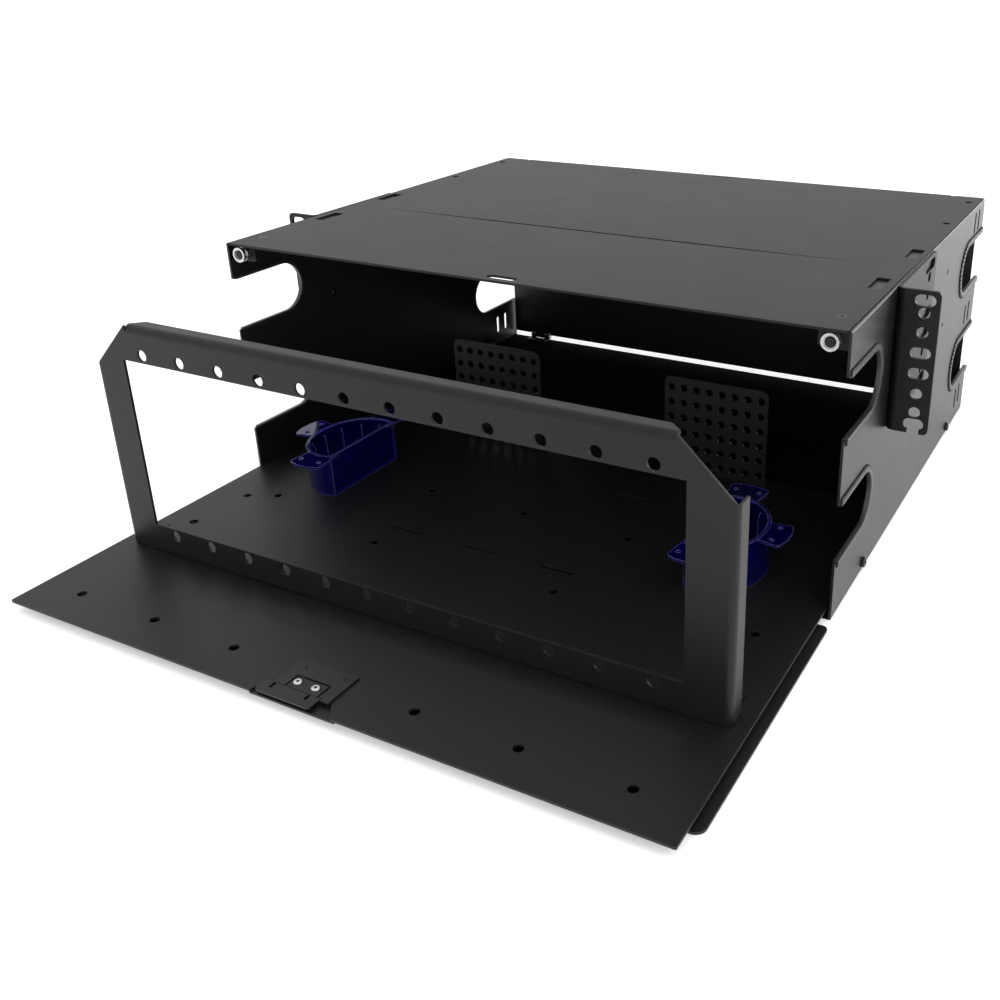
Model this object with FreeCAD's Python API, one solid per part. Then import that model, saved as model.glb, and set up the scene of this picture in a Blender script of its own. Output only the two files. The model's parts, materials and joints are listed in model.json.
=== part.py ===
import FreeCAD, Part
import math
import os

# Fiber termination box: a 4U rack-mount enclosure for a 19 inch rack, with a pull-out tray that
# carries a twelve-bay adapter frame, two fibre spools and two perforated lacing plates.
# Millimetres. X to the right, Y to the rear, Z up. Every piece is drawn with Y counted from the
# front edge of the chassis, and save() then moves it so that the origin lies in the middle of the
# chassis's underside. The tray is pulled out, the front door lies folded down flat, and the rear
# door is closed.

# ---------------------------------------------------------------- driving dimensions
CHASSIS_WIDTH = 431.8          # 17 inch body
CHASSIS_DEPTH = 350.5
CHASSIS_HEIGHT = 172.7         # fits 4 rack units of 44.45
SHEET = 1.5                    # steel sheet of the chassis, doors and tray
THIN_SHEET = 1.2               # hinges and latch
RAIL_SHEET = 0.9               # slide rails
BEND = 1.5                     # inner bend radius of folded sheet

CUTOUT_HEIGHT = 36.5           # cable cut-outs in the side walls
CUTOUT_LOW_Z = (36.4, 111.0)   # lower edges of the two cut-outs at each end of a wall
CUTOUT_FRONT_DEPTH = 65.0
CUTOUT_REAR_DEPTH = 67.5
TRIM_INSET = 1.0               # how far the edge trim stands into the cut-out
TRIM_LAP = 3.5                 # how far it laps over the wall
TRIM_SIDE = 1.2                # thickness of the trim on each face of the wall
WALL_FLANGE = 15.0             # inward flange along the top of each side wall
WALL_NOTCH_Y = 8.4             # the flange starts behind the front catch tabs
TIE_SLOT_Y = (318.5, 331.5)
TIE_SLOT_Z = (19.8, 89.0, 160.2)
TIE_SLOT_SIZE = (16.2, 4.6)    # length and width
RIM_REAR_X = 215.1             # inner face of the wall's rim beside the rear cover
RIM_DROP = 0.1                 # how far the rim stays below the top plates
RIM_REAR_GAP = 2.0             # the rim ends this far in front of the wall's rear edge
WALL_HOLES = ((234.0, 106.0), (233.0, 144.7))
WALL_HOLE_RADIUS = 1.8

GLIDE_X = (198.0, 206.0)       # plastic strips on the floor pan under the tray
GLIDE_Y = (12.0, 300.0)
GLIDE_CLEARANCE = 0.35
RAIL_Y = (55.0, 302.0)
RAIL_TOP = 9.9
RAIL_LIP = 8.0
RAIL_SCREW_Y = (62.0, 292.0)
RAIL_SCREW_Z = 5.8

SCREW_SHANK = 1.6              # shank radius of all the small screws
SCREW_PLAY = 0.15              # how much wider the wall's hole is under the top screws

EAR_HEIGHT = 88.1              # 2 rack units
EAR_SHEET = 2.0
EAR_FACE_Y = 88.0
EAR_LEG = 93.0
EAR_LEG_COLUMN = 17.0          # from the long leg's free edge to its column of holes
EAR_LEG_SLOT_LENGTH = 25.0
EAR_BOTTOM = 84.4
EAR_SCREW_Y = 97.0
EAR_SCREW_SPREAD = 16.5        # the ear's screws lie this far above and below its middle
EAR_SCREW_END = 2.0            # how far the ear screws stand out inside the wall
RACK_HALF_WIDTH = 241.3        # 19 inch over the ears
RACK_HOLE_X = 232.55           # 18.31 inch between rack hole columns
RACK_SLOT_Z = (-38.1, -6.35, 6.35, 38.1)
RACK_HOLE_Z = (-30.6, -18.9, 18.9, 30.6)
RACK_SLOT_LENGTH = 12.0
RACK_SLOT_WIDTH = 7.0
RACK_HOLE_DIAMETER = 6.8

TOP_FRONT_HALF = 213.6         # half width of the front plate
TOP_REAR_HALF = 214.6          # half width of the rear cover
TOP_REAR_NOTCH = (190.0, 193.2)   # small notch in the rear cover's rear edge, on both sides
TOP_REAR_NOTCH_DEPTH = 1.8
TOP_SEAM_Y = 131.2
TOP_SEAM_BOW = 2.2             # how much wider the seam is in the middle
TOP_SEAM_GAP = 0.05
TOP_WINDOW_FRONT = ((200.6, 208.8), (79.5, 102.5))
TOP_WINDOW_REAR = ((203.0, 211.2), (153.5, 176.0))
TOP_SCREW = (203.6, 22.5)
COUNTERSINK_RADIUS = 3.2
COUNTERSINK_PLAY = 0.2         # gap around the countersunk heads
TOP_REAR_HOLES = ((207.3, 330.0, 2.6), (207.3, 255.0, 2.6), (203.5, 322.0, 1.1))
CATCH_TAB_WIDTH = 17.3
CATCH_TAB_DROP = 11.2
CATCH_TAB_Y = 5.5              # front face of the front catch tabs
MAGNET_X = 204.7
MAGNET_Z = 165.5
MAGNET_RADIUS = 5.0
MAGNET_LENGTH = 6.6            # from the tab to the front magnets' face
REAR_MAGNET_LENGTH = 2.0

TRAY_HALF_WIDTH = 213.1
TRAY_FRONT_Y = -203.8
TRAY_REAR_Y = 137.0
TRAY_TOP = 7.6
TRAY_NOTCH = ((-26.0, -24.6), (19.6, 26.4))   # outer and inner ends of the finger latch's notch
TRAY_NOTCH_Y = -194.4          # bottom of the notch
TRAY_ROW_PITCH = 60.4
TRAY_ROW_Y = -180.4
TRAY_ROW_RADIUS = 2.9
TRAY_SIDE_HOLES = ((190.5, -86.4, 3.0), (186.3, -42.2, 2.6), (167.3, -32.7, 2.6),
                   (65.8, -54.3, 2.6), (76.5, 21.2, 2.6))
TRAY_MIDDLE_HOLE = (-0.8, 21.2, 2.6)
TRAY_SLOT_X = (-56.5, 0.0, 54.8)
TRAY_SLOT_Y = (-32.4, 73.6)
TRAY_SLOT_SIZE = (24.5, 2.2)

FRAME_Y = -123.2
FRAME_HALF_WIDTH = 205.0
FRAME_TOP = 157.0
FRAME_TOP_DEPTH = 10.8         # depths of the flanges, from the front face
FRAME_SIDE_DEPTH = 13.0
FRAME_FOOT_DEPTH = 15.7
FRAME_CHAMFER = 29.5
FRAME_BEND = 3.0
FRAME_FOOT_GROOVE = 0.8        # shadow groove between the face and the tray
FRAME_FLANGE_RUN = 7.0         # how far the top flange's ends run in towards its free edge
FRAME_FOOT_HALF = 188.0
FRAME_SCREW_X = (-104.0, 74.3)
FRAME_SCREW_Y = -114.0
BAY_PITCH = 29.7               # twelve adapter plates side by side
BAYS = 12
BAY_HOLE_SPACING = 118.1
BAY_HOLE_RADIUS = 3.55
BAY_CENTRE_Z = 80.9
BAY_OPENING = (359.4, 108.8)

LACING_X = 89.6
LACING_Y = 128.0
LACING_WIDTH = 76.6
LACING_TOP = 77.8
LACING_MIDDLE_Z = 42.15
LACING_COLUMNS = 8
LACING_ROWS = 6
LACING_PITCH = (9.5, 11.1)
LACING_HOLE_RADIUS = 2.7

SPOOL_X = 140.0
SPOOL_Y = 18.0
SPOOL_HALF = (29.4, 35.5)      # half axes of the body's oval
SPOOL_FLAT_X = 131.0           # the oval is cut off flat on the side that faces the other spool
SPOOL_HEIGHT = 29.4
SPOOL_WALL = 2.0
SPOOL_TAB_SHEET = 1.5
SPOOL_TAB_REACH = (14.0, 17.0)  # how far the side tab, and the front and rear tabs, stand out
SPOOL_TAB_FOOT = 9.5           # half width where a tab leaves the body
SPOOL_TAB_TIP = (13.5, 12.5)   # half width at the outer edge: side tabs, front and rear tabs
SPOOL_TAB_BOW = 2.5            # how far the outer edge bows out in its middle
SPOOL_TAB_HOLE = 1.1
SPOOL_TAB_HOLES = 7.7          # half the spacing of the two small holes in a tab
SPOOL_HOLE_INSET = 8.5

DOOR_HALF_WIDTH = 217.6
DOOR_REAR_Y = -8.9
DOOR_LENGTH = 177.8
DOOR_RIVET_Y = -18.0           # holes for the rivets of the front door's hinge leaves
FRONT_PIVOT = (-3.6, 3.0)      # Y and Z of the front hinge line
REAR_DOOR_HALF_WIDTH = 212.4
REAR_DOOR_Y = 346.2
REAR_DOOR_BOTTOM = 6.1
REAR_PIVOT = (347.5, 4.2)      # Y and Z of the rear hinge line
REAR_TAB_GAP = 4.0             # from the rear catch tabs' front face to the rear door
HINGE_X = 184.5
HINGE_WIDTH = 20.0
HINGE_RIVET_STEP = 6.0         # half the spacing of a leaf's two rivets
HINGE_BARREL_RADIUS = 2.3
HINGE_PIN_RADIUS = 1.2
HINGE_GAP = 0.3                # between two knuckles
HINGE_ROOM = 3.2               # half size of the clearing around a knuckle
PIN_CLEARANCE = 0.05
FLOOR_REAR_Y = 347.0           # rear edge of the floor pan

LATCH_FRONT_Y = -203.6
LATCH_STRAP_X = (-27.0, 28.5)  # strap under the tray that bridges the notch
LATCH_STRAP_Y = (-203.8, -193.6)
LATCH_STRAP_END_X = 13.2          # the strap's two ends reach further back beside the hook
LATCH_STRAP_END_Y = -189.5
LATCH_FOLD_Y = -194.4          # Y of the fold line that the latch flexes about
LATCH_LIP_X = (-23.8, 12.9)    # finger lip in front of the fold
LATCH_LIP_GAP = 0.2            # from the fold line to the lip's rear edge
LATCH_HALF_WIDTH = 10.2        # half width of the moving tongue
LATCH_REAR_Y = -185.4
LATCH_SLOT_X = (-16.8, 6.0)
LATCH_SLOT_Y = (-199.1, -195.0)
LATCH_SLOT_WIDTH = 1.7
LATCH_SCORE = 0.25             # depth of the scored fold line
LATCH_HOOK = ((-9.3, 9.3), (-193.2, -186.6), (4.4, 7.6))
LATCH_SCREW_X = (-6.2, 5.6)
LATCH_SCREW_Y = -189.9
LATCH_COVER_X = (-18.4, 18.8)
LATCH_COVER_Y = (-194.2, -171.8)
LATCH_COVER_EAR = ((13.3, 18.8), (-196.2, -194.2))   # the cover's corner beside the lip
LATCH_COVER_OPENING = 11.4     # half width of the cover's opening around the tongue
LATCH_OPENING_REAR = -184.2
TRAY_OPENING = ((-12.2, 12.2), (-196.0, -184.2))     # the tray's opening under the tongue

HALF_WIDTH = CHASSIS_WIDTH / 2
WALL_INSIDE = HALF_WIDTH - SHEET
WALL_TOP = CHASSIS_HEIGHT - SHEET
REAR_TAB_Y = REAR_DOOR_Y - REAR_TAB_GAP
EAR_CENTRE_Z = EAR_BOTTOM + EAR_HEIGHT / 2
EAR_SCREW_Z = (EAR_CENTRE_Z - EAR_SCREW_SPREAD, EAR_CENTRE_Z + EAR_SCREW_SPREAD)
CUT_MARGIN = 5.0               # how far a cutting tool runs past the sheet


# ---------------------------------------------------------------- helpers
def vec(x, y, z):
    return FreeCAD.Vector(x, y, z)


def block(x, y, z):
    """Box between the pairs of limits x, y and z."""
    return Part.makeBox(x[1] - x[0], y[1] - y[0], z[1] - z[0], vec(x[0], y[0], z[0]))


def rod(start, direction, radius, length):
    return Part.makeCylinder(radius, length, vec(*start), vec(*direction))


def rounded_wire(corners):
    """Closed wire through (point, radius) corners; a corner with radius 0 stays sharp."""
    edges = []
    ends = []
    count = len(corners)
    for i in range(count):
        point, radius = corners[i]
        before = corners[i - 1][0] - point
        after = corners[(i + 1) % count][0] - point
        before.normalize()
        after.normalize()
        if radius <= 0:
            ends.append((point, point, None))
            continue
        half = before.getAngle(after) / 2
        reach = radius / math.tan(half)
        middle = before + after
        middle.normalize()
        apex = point + middle * (radius / math.sin(half) - radius)
        ends.append((point + before * reach, point + after * reach, apex))
    for i in range(count):
        start, stop, apex = ends[i]
        if apex is not None:
            edges.append(Part.Arc(start, apex, stop).toShape())
        following = ends[(i + 1) % count][0]
        if stop.distanceToPoint(following) > 1e-6:
            edges.append(Part.LineSegment(stop, following).toShape())
    return Part.Wire(edges)


def plate(corners, direction):
    """Solid plate from (point, radius) corners, thickened along the direction vector."""
    return Part.Face(rounded_wire(corners)).extrude(direction)


def folded(spine, thickness, to_point, direction, inner_bend=BEND):
    """Sheet folded along a spine of 2D points on its outer face, to the left of the path.

    to_point turns a 2D point into a 3D one, and the profile is extruded along direction.
    """
    inner = []
    last = len(spine) - 1
    for i, (u, v) in enumerate(spine):
        normals = []
        for j in (i - 1, i):
            if 0 <= j < last:
                du = spine[j + 1][0] - spine[j][0]
                dv = spine[j + 1][1] - spine[j][1]
                size = math.hypot(du, dv)
                normals.append((-dv / size, du / size))
        nu = sum(n[0] for n in normals)
        nv = sum(n[1] for n in normals)
        scale = thickness * len(normals) / (nu * nu + nv * nv)
        inner.append((u + nu * scale, v + nv * scale))
    corners = []
    for path in (spine, inner[::-1]):
        for i, (u, v) in enumerate(path):
            if i in (0, last):
                corners.append((to_point(u, v), 0))
                continue
            before = (path[i][0] - path[i - 1][0], path[i][1] - path[i - 1][1])
            after = (path[i + 1][0] - path[i][0], path[i + 1][1] - path[i][1])
            turn = before[0] * after[1] - before[1] * after[0]
            corners.append((to_point(u, v), inner_bend + thickness if turn > 0 else inner_bend))
    return plate(corners, direction)


def stadium(centre, length, width, along, through):
    """Slot-shaped cutter: length end to end, rounded ends, along X, Y or Z, pushed through."""
    axes = {"x": vec(1, 0, 0), "y": vec(0, 1, 0), "z": vec(0, 0, 1)}
    run = axes[along]
    push = axes[through]
    side = run.cross(push)
    half = length / 2
    start = vec(*centre) - push * CUT_MARGIN
    corners = []
    for a, b in ((-1, -1), (1, -1), (1, 1), (-1, 1)):
        corners.append((start + run * (a * half) + side * (b * width / 2), width / 2 - 0.001))
    return plate(corners, push * (2 * CUT_MARGIN))


def cut_all(shape, tools):
    return shape.cut(Part.makeCompound(tools)) if tools else shape


def mirrored(shape):
    """The left-hand twin of a right-hand piece."""
    return shape.mirror(vec(0, 0, 0), vec(1, 0, 0))


def save(name, shape):
    solid = shape.removeSplitter()
    solid.translate(vec(0, -CHASSIS_DEPTH / 2, 0))
    print("%-28s solids %d volume %10.1f valid %s"
          % (name, len(solid.Solids), solid.Volume, solid.isValid()))
    solid.exportStep("parts/%s.step" % name)


def save_pair(name, right):
    save(name + "_right", right)
    save(name + "_left", mirrored(right))


# ---------------------------------------------------------------- side walls and edge trim
def cutout_tool(end, low_z, grow, thickness):
    """Cable cut-out with a round inner end, open at the front or rear edge of the right wall."""
    radius = CUTOUT_HEIGHT / 2 + grow
    middle_z = low_z + CUTOUT_HEIGHT / 2
    depth = CUTOUT_FRONT_DEPTH if end == "front" else CUTOUT_REAR_DEPTH
    straight = depth - CUTOUT_HEIGHT / 2
    inner_y = straight if end == "front" else CHASSIS_DEPTH - straight
    mouth_y = 0 if end == "front" else CHASSIS_DEPTH
    x = HALF_WIDTH - SHEET / 2 - thickness / 2
    limits = sorted((inner_y, mouth_y))
    body = block((x, x + thickness), limits, (middle_z - radius, middle_z + radius))
    return body.fuse(rod((x, inner_y, middle_z), (1, 0, 0), radius, thickness))


def tie_slots():
    length, width = TIE_SLOT_SIZE
    return [stadium((WALL_INSIDE, y, z), length, width, "z", "x") for z in TIE_SLOT_Z for y in TIE_SLOT_Y]


def wall_hole(y, z, radius=SCREW_SHANK):
    return rod((WALL_INSIDE - CUT_MARGIN, y, z), (1, 0, 0), radius, 2 * CUT_MARGIN)


def rim(inner_x, y_limits, radius):
    """Rim along the wall's top fold, level with the top plates and a narrow gap beside them."""
    front, rear = y_limits
    low = WALL_TOP - SHEET - BEND
    top = CHASSIS_HEIGHT - RIM_DROP
    corners = [
        (vec(inner_x, front, low), 0),
        (vec(HALF_WIDTH, front, low), 0),
        (vec(HALF_WIDTH, front, top), radius),
        (vec(inner_x, front, top), 0),
    ]
    return plate(corners, vec(0, rear - front, 0))


def side_wall():
    """Right side wall with its inward top flange, cable cut-outs, tie slots and screw holes."""
    flange_x = HALF_WIDTH - WALL_FLANGE
    spine = [(HALF_WIDTH, 0), (HALF_WIDTH, WALL_TOP), (flange_x, WALL_TOP)]
    wall = folded(spine, SHEET, lambda u, v: vec(u, 0, v), vec(0, CHASSIS_DEPTH, 0))
    notch_z = (WALL_TOP - SHEET - BEND, WALL_TOP + 1)
    tools = []
    for notch_y in ((-1, WALL_NOTCH_Y), (REAR_TAB_Y - 0.7, CHASSIS_DEPTH + 1)):
        tools.append(block((flange_x - 1, WALL_INSIDE), notch_y, notch_z))
    for low_z in CUTOUT_LOW_Z:
        for end in ("front", "rear"):
            tools.append(cutout_tool(end, low_z, 0, 2 * CUT_MARGIN))
    tools += tie_slots()
    tools += [wall_hole(y, z, WALL_HOLE_RADIUS) for y, z in WALL_HOLES]
    tools += [wall_hole(y, RAIL_SCREW_Z) for y in RAIL_SCREW_Y]
    tools += [wall_hole(EAR_SCREW_Y, z) for z in EAR_SCREW_Z]
    flange_low = WALL_TOP - SHEET - 1
    tools.append(rod((*TOP_SCREW, flange_low), (0, 0, 1), SCREW_SHANK + SCREW_PLAY, 4))
    for x, y, radius in TOP_REAR_HOLES[:2]:
        tools.append(rod((x, y, flange_low), (0, 0, 1), SCREW_SHANK, 4))
    wall = cut_all(wall, tools)
    # the sheet's bottom corner is rolled, like a fold into the floor
    roll_radius = 1.0
    corner_x = HALF_WIDTH - roll_radius
    corner = block((corner_x, HALF_WIDTH + 1), (-1, CHASSIS_DEPTH + 1), (-1, roll_radius))
    roll = rod((corner_x, -1, roll_radius), (0, 1, 0), roll_radius, CHASSIS_DEPTH + 2)
    wall = wall.cut(corner.cut(roll))
    return wall.fuse(rim(WALL_INSIDE, (0, TOP_SEAM_Y), SHEET * 0.8)).fuse(
        rim(RIM_REAR_X, (TOP_SEAM_Y, CHASSIS_DEPTH - RIM_REAR_GAP), SHEET * 0.3))


def edge_trim(end, low_z, wall):
    """U-section edge trim pressed over the rim of one cable cut-out."""
    thickness = SHEET + 2 * TRIM_SIDE
    outer = cutout_tool(end, low_z, TRIM_LAP, thickness)
    inner = cutout_tool(end, low_z, -TRIM_INSET, thickness + 2)
    return outer.cut(inner).cut(wall)


def make_walls():
    wall = side_wall()
    save_pair("side_wall", wall)
    for end in ("front", "rear"):
        for level, low_z in zip(("lower", "upper"), CUTOUT_LOW_Z):
            save_pair("edge_trim_%s_%s" % (end, level), edge_trim(end, low_z, wall))


# ---------------------------------------------------------------- screws
def button_screw(point, direction, reach, head_radius=3.4, head_height=2.2):
    """Domed screw: head outside the point, shank reaching back the other way, hex socket."""
    out = vec(*direction)
    seat = vec(*point)
    head = Part.makeCylinder(head_radius, head_height, seat, out)
    rim = [edge for edge in head.Edges
           if edge.Closed and abs((edge.CenterOfMass - seat).dot(out) - head_height) < 1e-6]
    head = head.makeFillet(head_height * 0.45, rim)
    shank = Part.makeCylinder(SCREW_SHANK, reach, seat - out * reach, out)
    socket_depth = head_height * 0.55
    socket = Part.makeCylinder(head_radius * 0.42, socket_depth, seat + out * (head_height - socket_depth),
                               out)
    return head.fuse(shank).cut(socket)


def cross_recess(x, z_or_y, reach, width, depth_limits, facing):
    """Two crossed slots, sunk along Z or along Y."""
    tools = []
    for half_a, half_b in ((reach, width), (width, reach)):
        first = (x - half_a, x + half_a)
        second = (z_or_y - half_b, z_or_y + half_b)
        tools.append(block(first, second, depth_limits) if facing == "z"
                     else block(first, depth_limits, second))
    return tools


def countersunk_screw(x, y, top, reach):
    depth = COUNTERSINK_RADIUS - SCREW_SHANK
    head = Part.makeCone(SCREW_SHANK, COUNTERSINK_RADIUS, depth, vec(x, y, top - depth))
    shank = Part.makeCylinder(SCREW_SHANK, reach - depth, vec(x, y, top - reach))
    return cut_all(head.fuse(shank), cross_recess(x, y, 1.7, 0.35, (top - 0.9, top + 1), "z"))


# ---------------------------------------------------------------- floor, top and rails
def make_floor():
    save("floor_pan", block((-WALL_INSIDE, WALL_INSIDE), (0, FLOOR_REAR_Y), (0, SHEET)))
    save_pair("glide_strip", block(GLIDE_X, GLIDE_Y, (SHEET, TRAY_TOP - SHEET - GLIDE_CLEARANCE)))


def slide_rail():
    """Thin channel along the foot of the right wall; its lip keeps the tray's edge down."""
    spine = [(WALL_INSIDE, SHEET), (WALL_INSIDE, RAIL_TOP), (WALL_INSIDE - RAIL_LIP, RAIL_TOP)]
    run = vec(0, RAIL_Y[1] - RAIL_Y[0], 0)
    rail = folded(spine, RAIL_SHEET, lambda u, v: vec(u, RAIL_Y[0], v), run, 0.6)
    return cut_all(rail, [wall_hole(y, RAIL_SCREW_Z) for y in RAIL_SCREW_Y])


def make_rails():
    save_pair("slide_rail", slide_rail())
    reach = SHEET + RAIL_SHEET
    for place, y in zip(("front", "rear"), RAIL_SCREW_Y):
        screw = button_screw((HALF_WIDTH, y, RAIL_SCREW_Z), (1, 0, 0), reach)
        save_pair("rail_screw_" + place, screw)


def catch_tabs(y):
    """Tabs folded down from the top sheet at its two corners, each with a hole for a magnet screw."""
    outer = TOP_FRONT_HALF - 0.1
    inner = outer - CATCH_TAB_WIDTH
    bottom = WALL_TOP - CATCH_TAB_DROP
    corners = [
        (vec(inner, y, WALL_TOP), 0),
        (vec(outer, y, WALL_TOP), 0),
        (vec(outer, y, bottom), 0.5),
        (vec(inner, y, bottom), 3.0),
    ]
    tab = plate(corners, vec(0, SHEET, 0))
    tab = tab.cut(rod((MAGNET_X, y - 1, MAGNET_Z), (0, 1, 0), SCREW_SHANK, SHEET + 2))
    return [tab, mirrored(tab)]


def windows(x_limits, y_limits):
    tool = block(x_limits, y_limits, (WALL_TOP - 1, CHASSIS_HEIGHT + 1))
    return [tool, mirrored(tool)]


def make_top():
    # front plate: its rear edge bows forward a little, so the seam is widest in the middle
    bowed_y = TOP_SEAM_Y - TOP_SEAM_BOW
    outline = [(-TOP_FRONT_HALF, 0), (-TOP_FRONT_HALF, TOP_SEAM_Y), (-195, TOP_SEAM_Y), (-90, bowed_y),
               (90, bowed_y), (195, TOP_SEAM_Y), (TOP_FRONT_HALF, TOP_SEAM_Y), (TOP_FRONT_HALF, 0)]
    front = plate([(vec(x, y, WALL_TOP), 0) for x, y in outline], vec(0, 0, SHEET))
    for tab in catch_tabs(CATCH_TAB_Y):
        front = front.fuse(tab)
    tools = windows(*TOP_WINDOW_FRONT)
    tools.append(stadium((0, 7.4, WALL_TOP), 20.6, 6.0, "x", "z"))
    x, y = TOP_SCREW
    sink_radius = COUNTERSINK_RADIUS + COUNTERSINK_PLAY
    sink_depth = sink_radius - SCREW_SHANK
    hole = rod((x, y, WALL_TOP - 2), (0, 0, 1), SCREW_SHANK, 6)
    sink = Part.makeCone(SCREW_SHANK, sink_radius, sink_depth, vec(x, y, CHASSIS_HEIGHT - sink_depth))
    tools += [hole, mirrored(hole), sink, mirrored(sink)]
    save("top_front_plate", cut_all(front, tools))
    save_pair("top_screw", countersunk_screw(x, y, CHASSIS_HEIGHT, 2 * SHEET))

    rear = block((-TOP_REAR_HALF, TOP_REAR_HALF), (TOP_SEAM_Y + TOP_SEAM_GAP, CHASSIS_DEPTH),
                 (WALL_TOP, CHASSIS_HEIGHT))
    for tab in catch_tabs(REAR_TAB_Y):
        rear = rear.fuse(tab)
    tools = windows(*TOP_WINDOW_REAR)
    tools.append(stadium((0, 346.5, WALL_TOP), 20.0, 1.8, "x", "z"))
    notch = block(TOP_REAR_NOTCH, (CHASSIS_DEPTH - TOP_REAR_NOTCH_DEPTH, CHASSIS_DEPTH + 1),
                  (WALL_TOP - 1, CHASSIS_HEIGHT + 1))
    tools += [notch, mirrored(notch)]
    for x, y, radius in TOP_REAR_HOLES:
        hole = rod((x, y, WALL_TOP - 1), (0, 0, 1), radius, 4)
        tools += [hole, mirrored(hole)]
    save("top_rear_cover", cut_all(rear, tools))


def catch_magnet(y, direction, length):
    """Round catch on a tab: nut, neck and a cup whose sunk face holds a screw with a cross recess."""
    cup_length = min(length, 1.9)
    along = (0, direction, 0)
    face_y = y + direction * length
    cup = rod((MAGNET_X, face_y - direction * cup_length, MAGNET_Z), along, MAGNET_RADIUS, cup_length)
    sink = rod((MAGNET_X, face_y - direction, MAGNET_Z), along, MAGNET_RADIUS - 1.3, 2.0)
    neck = rod((MAGNET_X, y, MAGNET_Z), along, MAGNET_RADIUS - 1.2, length - 1.2)
    nut = rod((MAGNET_X, y, MAGNET_Z), along, MAGNET_RADIUS - 0.3, length * 0.38)
    head = rod((MAGNET_X, face_y - direction * 1.5, MAGNET_Z), along, 2.3, 1.2)
    shank = rod((MAGNET_X, y, MAGNET_Z), (0, -direction, 0), SCREW_SHANK, SHEET)
    body = cup.fuse(neck).fuse(nut).cut(sink).fuse(head).fuse(shank)
    limits = sorted((face_y - direction * 0.8, face_y + direction))
    return cut_all(body, cross_recess(MAGNET_X, MAGNET_Z, 1.6, 0.3, limits, "y"))


def make_magnets():
    save_pair("front_magnet", catch_magnet(CATCH_TAB_Y, -1, MAGNET_LENGTH))
    save_pair("rear_magnet", catch_magnet(REAR_TAB_Y + SHEET, 1, REAR_MAGNET_LENGTH))


# ---------------------------------------------------------------- rack ears
def ear_holes_tool(centre, along, through, slot_length):
    """Slots and round holes of one ear leg, in a column with the rack's hole spacing."""
    tools = []
    for dz in RACK_SLOT_Z:
        place = (centre[0], centre[1], centre[2] + dz)
        tools.append(stadium(place, slot_length, RACK_SLOT_WIDTH, along, through))
    for dz in RACK_HOLE_Z:
        start = vec(centre[0], centre[1], centre[2] + dz)
        push = vec(1, 0, 0) if through == "x" else vec(0, 1, 0)
        start = start - push * CUT_MARGIN
        tools.append(Part.makeCylinder(RACK_HOLE_DIAMETER / 2, 2 * CUT_MARGIN, start, push))
    return tools


def rack_ear():
    """Right rack ear: a short leg facing the rack post and a long leg along the side wall."""
    rear_y = EAR_FACE_Y + EAR_LEG
    spine = [(HALF_WIDTH, rear_y), (HALF_WIDTH, EAR_FACE_Y), (RACK_HALF_WIDTH, EAR_FACE_Y)]
    ear = folded(spine, EAR_SHEET, lambda u, v: vec(u, v, EAR_BOTTOM), vec(0, 0, EAR_HEIGHT), 3.0)
    face_middle = (RACK_HOLE_X, EAR_FACE_Y + EAR_SHEET / 2, EAR_CENTRE_Z)
    leg_middle = (HALF_WIDTH + EAR_SHEET / 2, rear_y - EAR_LEG_COLUMN, EAR_CENTRE_Z)
    tools = ear_holes_tool(face_middle, "x", "y", RACK_SLOT_LENGTH)
    tools += ear_holes_tool(leg_middle, "y", "x", EAR_LEG_SLOT_LENGTH)
    # the lowest slot of the face is open through a neck to the ear's bottom edge
    neck = RACK_SLOT_WIDTH / 2
    tools.append(block((RACK_HOLE_X - neck, RACK_HOLE_X + neck), (EAR_FACE_Y - 2, EAR_FACE_Y + 4),
                       (EAR_BOTTOM - 1, EAR_CENTRE_Z + RACK_SLOT_Z[0])))
    tools += [wall_hole(EAR_SCREW_Y, z) for z in EAR_SCREW_Z]
    ear = cut_all(ear, tools)
    upright = []
    for edge in ear.Edges:
        box = edge.BoundBox
        level = box.ZLength < 1e-6
        free_face = level and abs(box.XMin - RACK_HALF_WIDTH) < 1e-6 and box.YLength > EAR_SHEET - 0.01
        free_leg = level and abs(box.YMin - rear_y) < 1e-6 and box.XLength > EAR_SHEET - 0.01
        if free_face or free_leg:
            upright.append(edge)
    return ear.makeFillet(3.0, upright)


def make_ears():
    save_pair("rack_ear", rack_ear())
    reach = EAR_SHEET + SHEET + EAR_SCREW_END
    for place, z in zip(("lower", "upper"), EAR_SCREW_Z):
        seat = (HALF_WIDTH + EAR_SHEET, EAR_SCREW_Y, z)
        save_pair("ear_screw_" + place, button_screw(seat, (1, 0, 0), reach, 4.2, 1.6))


# ---------------------------------------------------------------- doors and hinges
def barrel(x_limits, pivot, bore):
    """Hinge knuckle around the pivot line, bored for the pin."""
    start = (x_limits[0], pivot[0], pivot[1])
    length = x_limits[1] - x_limits[0]
    outer = rod(start, (1, 0, 0), HINGE_BARREL_RADIUS, length)
    hole = rod((x_limits[0] - 1, pivot[0], pivot[1]), (1, 0, 0), bore, length + 2)
    return outer, hole


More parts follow.
